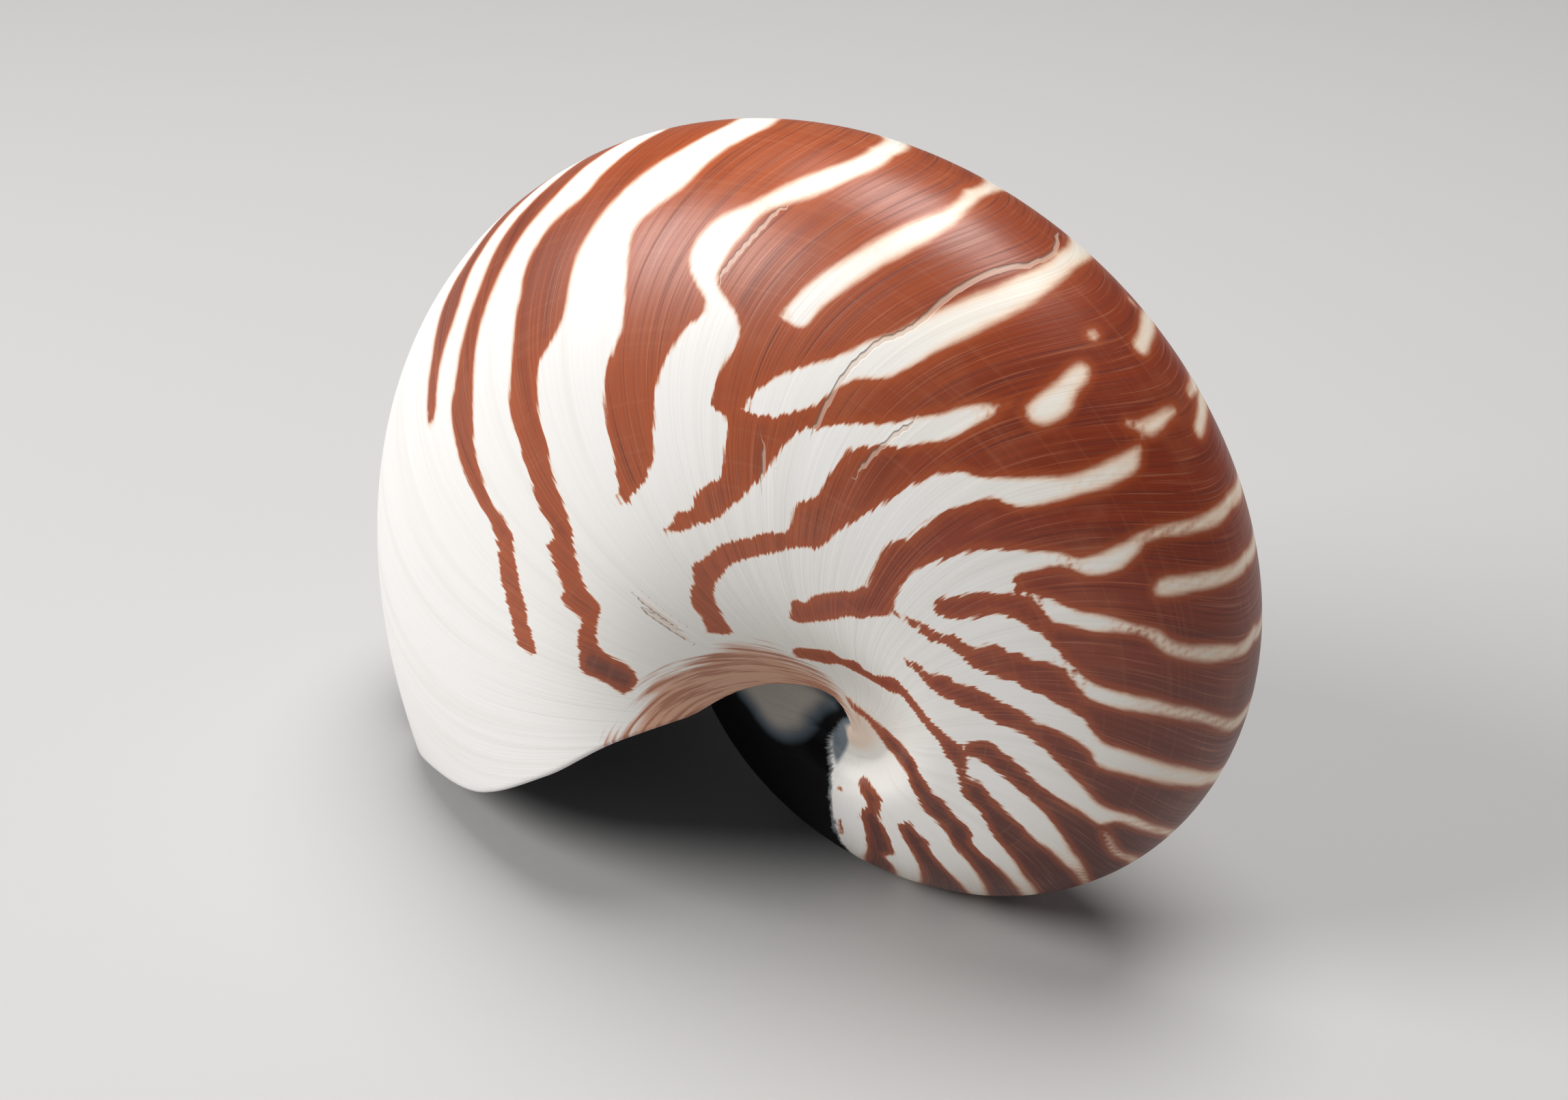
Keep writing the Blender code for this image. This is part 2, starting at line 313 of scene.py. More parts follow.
# Stripes and marks, drawn on the near flank as outlines of (angle, flank position).
# Each brown stripe has two edges, from its tip down to the keel, which they cross.
stripeEdges = {
    "lipStripe": (
        [(183.8, .742), (180.2, .75), (177.5, .75), (174.3, .745), (172.5, .735), (171.5, .71),
         (170, .70), (166.5, .692), (163.8, .692), (160.2, .685), (157.2, .68), (156.1, .66),
         (154.3, .645), (151.5, .63), (149.3, .615), (145.9, .595), (144.7, .57), (142.9, .54),
         (141.1, .51), (139.9, .498), (139.4, .475), (138.2, .45), (136.1, .42), (134.4, .408),
         (130.2, .385), (128.2, .365), (127.3, .342), (126.1, .312), (124.6, .281), (122.9, .254),
         (120.8, .223), (118.5, .188), (114.4, .127), (112.6, .096), (111.4, .058), (110.6, .015),
         (110.6, -.06)],
        [(183.6, .735), (182, .728), (180.4, .71), (180.2, .694), (177.5, .688), (174.3, .685),
         (168.4, .675), (164.7, .675), (163.8, .66), (163.1, .642), (160.2, .64), (157.9, .62),
         (155.6, .605), (154.3, .59), (152, .595), (150, .58), (149.3, .55), (147.9, .53), (146.5, .495),
         (145.2, .485), (144.3, .45), (142, .42), (138.5, .377), (136.4, .335), (134.9, .315),
         (134.1, .288), (132.3, .254), (128.2, .208), (125.5, .192), (124.4, .181), (122.9, .142),
         (121.4, .104), (120.2, .065), (119.2, 0), (119.2, -.06)]),
    "frontStripe": (
        [(180.4, .635), (177.5, .63), (174.3, .615), (170.6, .605), (167.5, .59), (161.5, .565),
         (160.2, .55), (158.6, .551), (157.9, .52), (157.7, .505), (155.6, .465), (152.9, .43),
         (150.2, .405), (147.5, .37), (144.3, .325), (141.1, .29), (137.9, .254), (133.2, .196),
         (129.4, .154), (127.9, .119), (126.7, .088), (125.3, .05), (124.6, 0), (124.8, -.06)],
        [(180.4, .625), (179.5, .605), (175.6, .595), (168.8, .565), (166.1, .552), (162.9, .54),
         (160.6, .52), (160, .495), (158.8, .465), (157.5, .43), (155.6, .40), (153.6, .37), (151.5, .36),
         (145.2, .29), (142.3, .26), (139.5, .212), (137, .17), (133.5, .127), (131.7, .10),
         (130.5, .073), (129.6, .035), (129.2, -.06)]),
    "paleStripe": (
        [(159.6, .357), (157, .352), (155.2, .332), (152.9, .305), (150.6, .285), (148.4, .27),
         (146.1, .24), (143.8, .195), (141.1, .16), (138.4, .12), (135.6, .08), (133.5, .03),
         (133.2, -.06)],
        [(159.4, .35), (157.5, .325), (155.6, .30), (153.8, .28), (152, .245), (149.7, .205),
         (147.5, .18), (144.3, .15), (142, .11), (140, .07), (138.5, .03), (138, -.06)]),
    "hookedStripe": (
        [(133.2, .60), (130.8, .604), (129.9, .609), (129.1, .60), (124.4, .59), (122, .581),
         (119.6, .562), (118.5, .538), (117.3, .519), (116.1, .488), (112.6, .446), (109.1, .408),
         (106.6, .393), (105.6, .38), (106.1, .366), (107, .352), (108.3, .336), (108.4, .312),
         (107.6, .285), (106.1, .258), (103.8, .235), (101.4, .215), (99.6, .188), (96.1, .127),
         (94.6, .096), (93.5, .065), (92.9, .015), (94.4, -.06)],
        [(133.2, .598), (131.4, .594), (129.8, .585), (129.1, .565), (127.9, .55), (127.3, .527),
         (126.4, .50), (124.9, .469), (123.2, .446), (121.1, .427), (119.4, .412), (118.5, .388),
         (117.9, .354), (117.3, .312), (117.1, .288), (116.4, .265), (114.9, .246), (111.1, .208),
         (109.6, .173), (108.2, .127), (106.1, .058), (105.3, 0), (105.5, -.06)]),
    "crownStripe": (
        [(105.5, .499), (103.5, .507), (101, .507), (99.7, .498), (98.5, .485), (97, .469), (93.8, .446),
         (89.8, .421), (85.1, .39), (81.4, .346), (79.5, .327), (77.6, .296), (75.1, .246), (73.9, .219),
         (72.3, .181), (71.1, .135), (70.1, .088), (69.4, .03), (70.4, -.06)],
        [(105.5, .496), (104.6, .481), (103.5, .458), (102, .435), (100.6, .419), (100.3, .404),
         (100.9, .386), (102.3, .369), (103.8, .354), (104.6, .342), (104.1, .327), (102.9, .296),
         (101.4, .265), (100.2, .235), (98.8, .219), (95.2, .185), (93.8, .158), (92.3, .123),
         (90.8, .08), (90.1, .03), (91.4, -.06)]),
    "forkedStripe": (
        [(125.4, .652), (121.4, .652), (114.1, .645), (108.2, .636), (105.2, .623), (100.8, .608),
         (99.4, .596), (94.9, .571), (93.7, .56), (92.6, .542), (91.1, .519), (89.5, .505), (85.1, .485),
         (80.1, .462), (75.1, .438), (70.1, .396), (68.3, .373), (66.4, .346), (64.5, .327), (62, .31),
         (58, .2), (56, .1), (55, -.06)],
        [(125.4, .65), (122.9, .645), (120.8, .638), (119.1, .628), (115.5, .631), (112.6, .615),
         (111.4, .604), (107.3, .592), (105.2, .585), (104.1, .573), (103.1, .55), (102.5, .53),
         (102.7, .512), (104, .503), (105.2, .498), (103, .49), (99.8, .501), (94.9, .502), (91, .487),
         (87.6, .469), (85.8, .45), (83.9, .427), (82, .408), (78.3, .39), (76.4, .369), (74.5, .335),
         (72.6, .296), (70.8, .258), (69.2, .212), (68.1, .165), (67.3, .119), (67.1, .03), (67.5, -.06)]),
    "shoulderStripe": (
        [(140, .77), (136.7, .777), (132, .781), (130.2, .777), (128.8, .765), (126.7, .758),
         (125.2, .742), (123.2, .731), (117, .712), (108.2, .692), (100.8, .679), (93.9, .667),
         (90.8, .658), (84.5, .642), (79.5, .633), (77.6, .612), (73.9, .573), (72, .558), (70.1, .535),
         (68.9, .508), (65.1, .458), (63.3, .436), (61.1, .419), (58.6, .408), (56.4, .385), (52.3, .335),
         (50.4, .308), (49.2, .265), (48.4, .219), (47.6, .17), (47, .1), (47, -.06)],
        [(140, .768), (136.7, .759), (134.9, .754), (134.1, .738), (132.6, .731), (128.5, .719),
         (126.4, .715), (124.4, .704), (122, .692), (114.1, .681), (111.1, .672), (104.4, .662),
         (97.3, .65), (94.9, .642), (90.8, .638), (88.9, .627), (87.9, .619), (87.5, .60), (87, .588),
         (84.5, .582), (82.9, .573), (82, .558), (81.4, .538), (80.1, .515), (79.5, .496), (77.6, .482),
         (73.3, .462), (71.1, .45), (68.9, .431), (67, .415), (65.4, .396), (64.2, .358), (62.7, .325),
         (64, .2), (64, -.06)]),
    "blotStripe": (
        [(97.3, .762), (92.3, .759), (86.1, .75), (80.1, .738), (73.9, .723), (71.1, .715), (68.9, .704),
         (64.2, .692), (61.7, .685), (59.5, .673), (56.1, .658), (55, .648), (56, .632), (56.4, .619),
         (57.2, .60), (56.1, .565), (54.8, .542), (52, .496), (50.8, .477), (47, .438), (43.9, .396),
         (41.4, .373), (39.8, .358), (39.3, .335), (38.9, .296), (38.6, .262), (38.8, .245), (37.6, .192),
         (36.7, .158), (36.1, .112), (35.7, .05), (35.9, 0), (37, -.06)],
        [(97.3, .759), (95.1, .752), (93.3, .742), (91.4, .727), (88.3, .721), (85.1, .721), (82.6, .708),
         (77, .69), (70.1, .669), (67.6, .662), (65.8, .65), (64.3, .642), (64.7, .623), (65, .596),
         (64.8, .569), (63.6, .558), (62, .55), (61.4, .531), (60.6, .504), (59.7, .481), (57, .438),
         (55.4, .415), (53.3, .404), (51.4, .392), (49.8, .365), (48.3, .327), (47, .288), (46.1, .25),
         (45.6, .212), (46.2, .185), (47.4, .174), (50, .15), (53, .05), (53, -.06)]),
    "shortStripe": (
        [(42.9, .46), (42.3, .465), (41.1, .464), (39.8, .458), (36.4, .423), (32.6, .396), (30.8, .365),
         (27, .312), (24.8, .273), (23.3, .262), (21.4, .238), (20.6, .215), (18.9, .142), (17.6, .096),
         (17.1, .055), (17.5, .01), (19.6, -.06)],
        [(42.9, .45), (42.3, .427), (41.1, .396), (39.5, .377), (37.6, .362), (36.5, .342), (35.8, .308),
         (36.2, .281), (36.6, .265), (37.7, .252), (37, .219), (34.8, .135), (34, .088), (34, .035),
         (34.8, -.06)]),
    "tongueStripe": (
        [(48.8, .58), (47.3, .588), (45.1, .585), (43.3, .577), (41.7, .565), (40.4, .546), (39.5, .523),
         (37.9, .496), (33.3, .473), (31.4, .458), (27, .442), (22.9, .427), (18.9, .40), (17, .373),
         (15.1, .335), (13.9, .296), (11.7, .258), (10.4, .212), (6.7, .119), (5.3, .081), (4.7, .035),
         (5.4, -.06)],
        [(48.8, .575), (47, .554), (45.4, .538), (44.5, .519), (41.4, .485), (40.4, .469), (38.6, .452),
         (35.8, .442), (33.3, .442), (32, .435), (30.4, .408), (28.9, .388), (27.6, .362), (26.7, .335),
         (25.1, .30), (21.1, .269), (19.5, .235), (17.9, .196), (16.7, .15), (15.8, .096), (15.2, .042),
         (15.7, 0), (17.6, -.06)]),
    "threadStripe": (
        [(56.5, .655), (54, .643), (50.1, .636), (47.3, .633), (45.1, .625), (40.8, .621), (37.9, .60),
         (33.3, .588), (28.3, .573), (25.8, .554), (23.9, .538), (22.3, .512), (20.4, .504), (15.1, .454),
         (13.3, .431), (11.4, .415), (6.7, .392), (5.1, .369), (3.6, .327), (1.7, .281), (.1, .235),
         (-1.4, .181), (-3, .135), (-5.4, .05), (-6.2, 0), (-6, -.06)],
        [(56.5, .645), (52, .632), (47.3, .623), (46.4, .615), (41.4, .604), (39.5, .588), (37.3, .577),
         (33.9, .569), (33.3, .55), (32.6, .531), (30.1, .519), (28.3, .496), (26.4, .481), (24.8, .458),
         (22.9, .438), (17.6, .419), (15.8, .408), (14.2, .381), (12.9, .358), (10.8, .281), (7.6, .188),
         (3.9, .096), (2.8, .055), (2.7, .01), (3.6, -.06)]),
    "rightStripe": (
        [(42.4, .683), (39.5, .681), (37, .672), (32, .667), (27, .658), (22.6, .642), (20.8, .627),
         (17.3, .615), (16.4, .60), (14.5, .581), (10.1, .55), (8.6, .523), (4.8, .488), (2.9, .469),
         (.8, .456), (-1.1, .435), (-4.9, .40), (-7.4, .377), (-9.5, .354), (-10.6, .327), (-11.3, .281),
         (-12.4, .25), (-15.2, .177), (-16.6, .135), (-18.4, .081), (-20.2, .035), (-20.9, 0),
         (-20.5, -.06)],
        [(42.4, .681), (38.6, .665), (36.4, .658), (32, .654), (31.2, .642), (30.1, .627), (25.1, .612),
         (23.9, .592), (22, .573), (17.6, .554), (16.4, .535), (12.3, .504), (11.1, .496), (10.1, .473),
         (7, .435), (5.4, .415), (3.3, .396), (1.4, .392), (0, .375), (-1.3, .327), (-4.1, .219),
         (-5.4, .158), (-6.6, .096), (-7.7, .05), (-9, .01), (-9, -.06)]),
    "lowStripe": (
        [(4.8, .58), (3.9, .59), (3, .612), (-2, .61), (-2.8, .585), (-3.4, .572), (-6.3, .55),
         (-9.9, .504), (-13.8, .458), (-16.3, .427), (-20.6, .381), (-24.1, .342), (-27.7, .288),
         (-33.1, .212), (-38.1, .127), (-40.2, .081), (-41.6, .03), (-41.7, -.06)],
        [(4.8, .576), (3.4, .562), (-.9, .527), (-3.1, .512), (-5.2, .488), (-7.4, .469), (-8.8, .442),
         (-10.9, .412), (-12, .381), (-14.9, .337), (-15, .319), (-13.7, .306), (-13.4, .288),
         (-14.5, .258), (-17, .165), (-18.4, .119), (-20.2, .081), (-21.6, .042), (-22.6, 0),
         (-22.4, -.06)]),
    "longStripe": (
        [(113, .823), (109.6, .827), (97, .828), (90.8, .827), (84.5, .818), (77.6, .812), (70.1, .81),
         (62.6, .804), (56.4, .796), (50.1, .788), (43.9, .773), (39.5, .763), (36.4, .748), (33.3, .735),
         (30.1, .727), (23.9, .721), (15.1, .702), (11.4, .69), (8.3, .685), (5.1, .669), (2, .659),
         (-2.7, .648), (-7.7, .623), (-9.9, .612), (-14.9, .60), (-19.9, .581), (-22, .565),
         (-23.4, .542), (-25.2, .523), (-29.1, .496), (-32.7, .446), (-36.3, .385), (-40, .327),
         (-41.6, .288), (-44.9, .223), (-49.1, .142), (-52.4, .07), (-54, 0), (-53.7, -.06)],
        [(113, .821), (109.6, .812), (106.7, .808), (97, .804), (84.5, .796), (82.3, .79), (78.3, .796),
         (75.1, .796), (70.1, .786), (63.9, .775), (61.7, .777), (59.5, .782), (53.3, .772), (50.1, .765),
         (43.9, .738), (40.1, .721), (34.5, .715), (23.9, .70), (14.5, .681), (10.1, .664), (7, .654),
         (3.9, .633), (.8, .615), (-2.7, .604), (-9.9, .598), (-12.4, .59), (-13.1, .577), (-12.2, .565),
         (-14.1, .55), (-18.1, .523), (-19.9, .50), (-21.3, .473), (-24.5, .427), (-25.9, .40),
         (-27, .362), (-30.2, .304), (-31.6, .265), (-34.9, .204), (-39.5, .119), (-42, .058), (-43.2, 0),
         (-43, -.06)]),
    "umbilicusStripe": (
        [(91, .893), (86, .902), (80.1, .91), (70, .916), (56, .915), (42, .912), (30, .908), (20, .903),
         (8, .892), (0, .885), (-9.9, .868), (-18.4, .854), (-20.6, .842), (-23.4, .812), (-24, .78),
         (-23.4, .746), (-24.3, .723), (-26.3, .708), (-28.8, .70), (-30.9, .685), (-35.2, .642),
         (-37.4, .631), (-39.5, .604), (-40.6, .577), (-40.9, .542), (-44.1, .496), (-45.9, .458),
         (-47, .419), (-48.4, .381), (-52.7, .296), (-58.1, .188), (-62.3, .09), (-64.5, 0), (-64, -.06)],
        [(91, .89), (86, .893), (80.1, .897), (70, .898), (56, .896), (42, .892), (30, .882), (20, .872),
         (7, .85), (2.6, .836), (0, .823), (-2.7, .80), (-6.3, .762), (-9.9, .731), (-14.1, .708),
         (-17.7, .70), (-22.4, .662), (-27, .635), (-28.1, .604), (-29.9, .577), (-32.4, .55),
         (-33.8, .519), (-35.2, .50), (-39.1, .477), (-40.2, .442), (-40.9, .404), (-43.4, .335),
         (-46.3, .265), (-49.9, .192), (-52.4, .135), (-55.8, .06), (-57.5, 0), (-57, -.06)]),
    "underStripe": (
        [(-52, .57), (-53.4, .571), (-56.3, .566), (-59.1, .554), (-60.4, .52), (-62, .45), (-65.5, .36),
         (-70, .28), (-74, .2), (-78, .1), (-80, 0), (-79.5, -.06)],
        [(-52, .565), (-52.9, .54), (-52.4, .519), (-51.8, .50), (-54.1, .488), (-54.9, .458),
         (-55.9, .42), (-56.3, .36), (-58.6, .28), (-61.3, .2), (-65.5, .1), (-68, 0), (-67.5, -.06)]),
    "mouthStripe": (
        [(-71, .748), (-74, .735), (-72, .70), (-68.5, .66), (-69, .62), (-71.5, .607), (-75.5, .57),
         (-75, .525), (-78, .445), (-80, .39), (-82, .35), (-86, .24), (-91, .1), (-93, 0), (-92.5, -.06)],
        [(-68, .755), (-61, .717), (-55.5, .668), (-60.5, .642), (-62.5, .61), (-66, .59), (-65.5, .535),
         (-68, .47), (-69, .43), (-73, .415), (-74.5, .40), (-73.5, .36), (-76, .28), (-80, .18),
         (-83, .08), (-84.5, 0), (-84, -.06)]),
    "mouthSpot": ([(-84, .665), (-85.2, .672), (-86.4, .66)], [(-84, .655), (-85, .645), (-86.4, .655)]),
    "mouthStreak": ([(-85.4, .505), (-86.6, .50), (-87.8, .42)], [(-85.4, .495), (-86.2, .44),
                                                                  (-87.4, .415)]),
}

# white gaps and flecks that part the brown again, in the same form
gapEdges = {
    "crownGap": (
        [(95, .374), (92.3, .379), (90.8, .373), (89.8, .35), (88.6, .327), (85.4, .273), (83.9, .238),
         (82, .20), (80.8, .165), (80, .127), (79.6, .081), (79.8, .02), (80.2, -.06)],
        [(95, .366), (93.6, .346), (90.8, .296), (87.6, .246), (84.5, .173), (82.9, .135), (81.7, .096),
         (81.2, .05), (81.5, .01), (83, -.06)]),
    "fleck": (
        [(60.1, .30), (58.6, .298), (57, .281), (56.4, .25), (56.7, .227), (57.5, .212), (57.4, .188),
         (57.8, .165)],
        [(60.6, .281), (60.4, .258), (59.8, .227), (59.9, .188), (59.6, .165), (58.6, .157)]),
    "faintFleck": ([(61.1, .112), (60.4, .113), (60, .10)], [(61.1, .095), (60.5, .088), (60, .10)]),
    "lowerFleck": (
        [(51, .168), (49.2, .152), (47.8, .136), (47.6, .112), (47.9, .081), (47.8, .046)],
        [(51, .166), (50.1, .148), (49.6, .127), (49.3, .096), (49, .058), (48.5, .033)]),
    "rightGap": (
        [(32, .25), (31, .21), (30, .17), (29, .13), (28, .05), (28, .02), (29, -.06)],
        [(31, .262), (30, .265), (29, .23), (28, .18), (27, .13), (26.2, .05), (26.3, .01), (27.4, -.06)]),
    "lowGap": (
        [(-16.8, .305), (-19.6, .27), (-21.9, .24), (-23.1, .213), (-24.1, .178), (-25.3, .14),
         (-27.4, .10), (-31, .02), (-31.5, -.06)],
        [(-16.8, .31), (-20.4, .275), (-22.8, .244), (-24.3, .213), (-25.3, .178), (-26.8, .14),
         (-29, .10), (-32.6, .02), (-33, -.06)]),
}

# white gaps of the far flank alone, near the keel
farGapEdges = {
    "firstFarGap": (
        [(57, .035), (57.5, -.03), (59, -.1), (59, -.15), (61, -.22)],
        [(55, .03), (55, 0), (56, -.06), (57, -.15), (60, -.23)]),
    "secondFarGap": (
        [(45, .02), (46, -.03), (47.5, -.09), (47.5, -.15), (50, -.25)],
        [(43.5, .01), (44, -.03), (45, -.07), (45.5, -.12), (48.5, -.26)]),
}

# where the black film of the mouth, the callus on it, the bluish film above it and the stain lie
filmOutline = [(-88.5, -.06), (-88.5, .2), (-89, .33), (-90, .4), (-89, .5), (-90, .6), (-92, .65),
               (-95, .69), (-100, .72), (-110, .755), (-120, .775), (-130, .80), (-150, .87),
               (-170, .885), (-200, .895), (-260, .90), (-345, .90), (-345, -.06)]
callusOutline = [(-142.5, .55), (-136, .56), (-128, .59), (-124, .635), (-124.5, .68), (-127, .72),
                 (-134, .755), (-141, .78), (-145, .77), (-150, .79), (-157.5, .805), (-180, .835),
                 (-208.5, .86), (-225, .84), (-215, .78), (-190, .68), (-165, .55), (-150, .50)]
blueFilmOutline = [(-96, .735), (-101, .80), (-105, .87), (-110, .925), (-150, .945), (-200, .945),
                   (-260, .925), (-275, .90), (-260, .86), (-228, .825), (-213, .845), (-205, .87),
                   (-196, .89), (-165, .88), (-137, .835), (-118, .785), (-105, .757)]
stainOutline = [(200, .72), (196, .75), (185, .755), (175, .755), (170, .77), (160, .785), (150, .79),
                (137, .79), (125, .80), (115, .82), (105, .855), (95, .89), (80, .925), (60, .945),
                (100, .95), (215, .95), (215, .72)]
# scars, each with its half width in millimetres: first where an old break in the growing edge healed
scars = [
    (0.32, [(86, .488), (85.1, .45), (83.3, .396), (80.4, .342), (78.9, .327), (77.3, .296)]),
    (0.42, [(77.3, .296), (76.7, .273), (75.8, .235), (74.5, .188), (73.3, .15), (72, .112), (70.8, .088)]),
    (0.32, [(70.8, .088), (70, .03), (70.1, -.02), (71.4, -.065)]),
    (0.28, [(149.6, .765), (149.3, .74), (149, .715)]), (0.28, [(147, .75), (146.4, .73), (146.8, .705)]),
    (0.22, [(76, .505), (74.6, .47), (72.3, .425)]),
    (0.28, [(95.4, .575), (95.2, .56), (95.5, .54)]),
    (0.28, [(103.4, .33), (101, .285), (98.4, .225)]),
]


# how the marks' distances are worked out, in millimetres unless (degrees, flank position) is meant
markReach = {
    "far": 9.0,               # stands for every distance that is too long to matter
    "pointsAtOnce": 4000,
    "roundOutline": (8, .08),     # only points this close to an outline's box are measured
    "roundScar": (3, .04),
    "scarEdge": 0.5,          # what the scar's attribute holds on the edge of a scar
    "scarFade": (1.6, 2.4),   # a scar's attribute counts fully nearer than this, and not beyond that
}


# rounds an outline by cutting its corners at a quarter and three quarters of each side, twice
def roundOff(outline, closed):
    line = np.array(outline, float)
    for _ in range(2):
        ahead = np.roll(line, -1, axis=0) if closed else line[1:]
        start = line if closed else line[:-1]
        cut = np.stack([0.75 * start + 0.25 * ahead, 0.25 * start + 0.75 * ahead], 1).reshape(-1, 2)
        line = cut if closed else np.vstack([line[:1], cut, line[-1:]])
    return line


def onNearFlank(line):
    side = np.where(line[:, 1] >= 0, -1.0, 1.0)
    return outerPoint(line[:, 0], shareOfFlank(line[:, 1]), side)


# millimetres from each point to the nearest stretch of a line, and which stretch that is
def distanceTo(points, line, closed):
    start = line if closed else line[:-1]
    run = (np.roll(line, -1, axis=0) if closed else line[1:]) - start
    length = np.maximum((run ** 2).sum(-1), 1e-9)
    nearest, stretch = np.empty(len(points)), np.empty(len(points), int)
    for first in range(0, len(points), markReach["pointsAtOnce"]):
        some = slice(first, first + markReach["pointsAtOnce"])
        away = points[some, None] - start
        part = np.clip((away * run).sum(-1) / length, 0, 1)
        square = ((away - part[..., None] * run) ** 2).sum(-1)
        stretch[some], nearest[some] = square.argmin(1), square.min(1)
    return np.sqrt(nearest), stretch


# signed millimetres to an outline, positive inside, for the points close to it
def depthIn(outline, angle, flank, points):
    line = roundOff(outline, True)
    low, high = line.min(0) - markReach["roundOutline"], line.max(0) + markReach["roundOutline"]
    near = (angle > low[0]) & (angle < high[0]) & (flank > low[1]) & (flank < high[1])
    depth = np.full(len(angle), -markReach["far"])
    a, f = angle[near, None], flank[near, None]
    startA, startF = line.T
    endA, endF = np.roll(line, -1, axis=0).T
    crosses = (startF > f) != (endF > f)
    meet = startA + (f - startF) / np.where(endF == startF, 1e-9, endF - startF) * (endA - startA)
    inside = (crosses & (a < meet)).sum(1) % 2 == 1
    depth[near] = distanceTo(points[near], onNearFlank(line), True)[0] * np.where(inside, 1, -1)
    return depth


# millimetres to the nearest scar, positive on its one side and negative on the other, so that it stays
# sharp between the mesh's points, and how near it is
def scarsNear(angle, flank, points):
    signed, near = np.full((2, len(angle)), markReach["far"])
    for width, scar in scars:
        line = roundOff(scar, False)
        low, high = line.min(0) - markReach["roundScar"], line.max(0) + markReach["roundScar"]
        close = np.flatnonzero((angle > low[0]) & (angle < high[0]) & (flank > low[1]) & (flank < high[1]))
        distance, stretch = distanceTo(points[close], onNearFlank(line), False)
        run = np.diff(line, axis=0)[stretch]
        away = np.stack([angle[close], flank[close]], -1) - line[stretch]
        side = np.sign(run[:, 0] * away[:, 1] - run[:, 1] * away[:, 0])
        nearer = distance < near[close]
        near[close[nearer]] = distance[nearer]
        signed[close[nearer]] = (side * (distance + markReach["scarEdge"] - width))[nearer]
    full, none = markReach["scarFade"]
    return signed, np.clip((none - near) / (none - full), 0, 1)


def outlineOf(edges):
    one, other = edges
    return one + other[::-1]


# rises smoothly from 0 at one value to 1 at the other
def ease(value, start, end):
    part = np.clip((value - start) / (end - start), 0, 1)
    return part * part * (3 - 2 * part)


# lays colours over a first one, each by its own share at every point
def layColours(first, layers):
    colour = np.array(paint(first))
    for share, over in layers:
        colour = colour * (1 - share[:, None]) + np.array(paint(over)) * share[:, None]
    return colour


def between(pair, share):
    return pair[0] + (pair[1] - pair[0]) * share


# how the far flank's stripes stray from the near ones: waves as (size, waves per turn, start in degrees)
farStray = {
    "start": 0.12,            # flank position where it sets in, and how far on it is full
    "over": 0.3,
    "angle": ((3.2, 6.1, 0), (1.8, 13.7, 50)),
    "flank": ((0.012, 9.3, 0),),
}


def strayAt(angle, waves):
    return sum(size * np.sin(np.radians(angle * rate + start)) for size, rate, start in waves)


# every mark's attribute: stripes grow by the larger depth, gaps cut by the smaller
def markShell(angle, share, side):
    look = aragonite
    flank = flankOfShare(share)
    blend = np.clip((flank - farStray["start"]) / farStray["over"], 0, 1) * (side > 0)
    patternAngle = angle + strayAt(angle, farStray["angle"]) * blend
    patternFlank = flank + strayAt(angle, farStray["flank"]) * blend
    nearSide = np.full(len(angle), -1.0)
    place = outerPoint(patternAngle, shareOfFlank(np.clip(patternFlank, 0, 1)), nearSide)
    stripe = np.full(len(angle), -markReach["far"])
    for edges in stripeEdges.values():
        stripe = np.maximum(stripe, depthIn(outlineOf(edges), patternAngle, patternFlank, place))
    for edges in gapEdges.values():
        stripe = np.minimum(stripe, -depthIn(outlineOf(edges), patternAngle, patternFlank, place))
    signed = np.where(side > 0, -flank, flank)
    truePlace = outerPoint(angle, share, np.where(side > 0, 1.0, -1.0))
    for edges in farGapEdges.values():
        stripe = np.minimum(stripe, -depthIn(outlineOf(edges), angle, signed, truePlace))

    marks = {"stripe": stripe}
    mirrored = outerPoint(angle, share, nearSide)
    for name, outline in (("film", filmOutline), ("callus", callusOutline), ("blueFilm", blueFilmOutline),
                          ("stain", stainOutline)):
        marks[name] = depthIn(outline, angle, flank, mirrored)
    marks["stain"] = np.minimum(marks["stain"], (look["stainEnd"] - flank) * look["stainFadeMm"])
    marks["scar"], marks["scarNear"] = scarsNear(angle, signed, truePlace)

    # millimetres along the keel from one growth line to the next, which lag behind on the flank
    lag = look["growthLag"] * np.sin(np.clip(flank / look["growthBend"], 0, 1) * math.pi / 2) ** 2
    marks["growth"] = keelRadius(angle - lag) / growth
    marks["across"] = signed * look["flankMm"]
    marks["fibre"] = flank * look["flankMm"] + look["fibreLean"] * marks["growth"]
    crisp = ease(flank, *look["crispFlank"])
    marks["blur"], marks["glow"] = between(look["blurMm"], crisp), between(look["glowMm"], crisp)
    marks["relief"] = look["relief"] * (1 - ease(flank, *look["reliefEnds"]))
    smaller = np.clip(look["teethByShare"] * share, look["leastTeeth"], 1)      # towards the umbilicus
    marks["toothed"] = between(look["teethMm"], ease(flank, *look["toothedFlank"])) * smaller

    marks["ground"] = layColours(look["white"], (
        (0.55 * ease(angle, 130, 60) * ease(flank, 0.55, 0.1), look["keelCream"]),
        (ease(flank, 0.5, 0.95), look["cream"]),
        (0.30 * ease(angle, 165, 200), look["coolWhite"]),
        (0.5 * ease(flank, 0.87, 0.94), look["tan"])))
    marks["pigment"] = layColours(look["brown"], (
        (ease(angle, 45, 105), look["brownBright"]),
        (ease(angle, 40, -30), look["brownDeep"]),
        (0.7 * ease(angle, 112, 135) * ease(flank, 0.45, 0.2), look["brownPurple"]),
        (0.85 * ease(angle, 166, 178) * ease(flank, 0.66, 0.7), look["brownTip"])))
    return marks


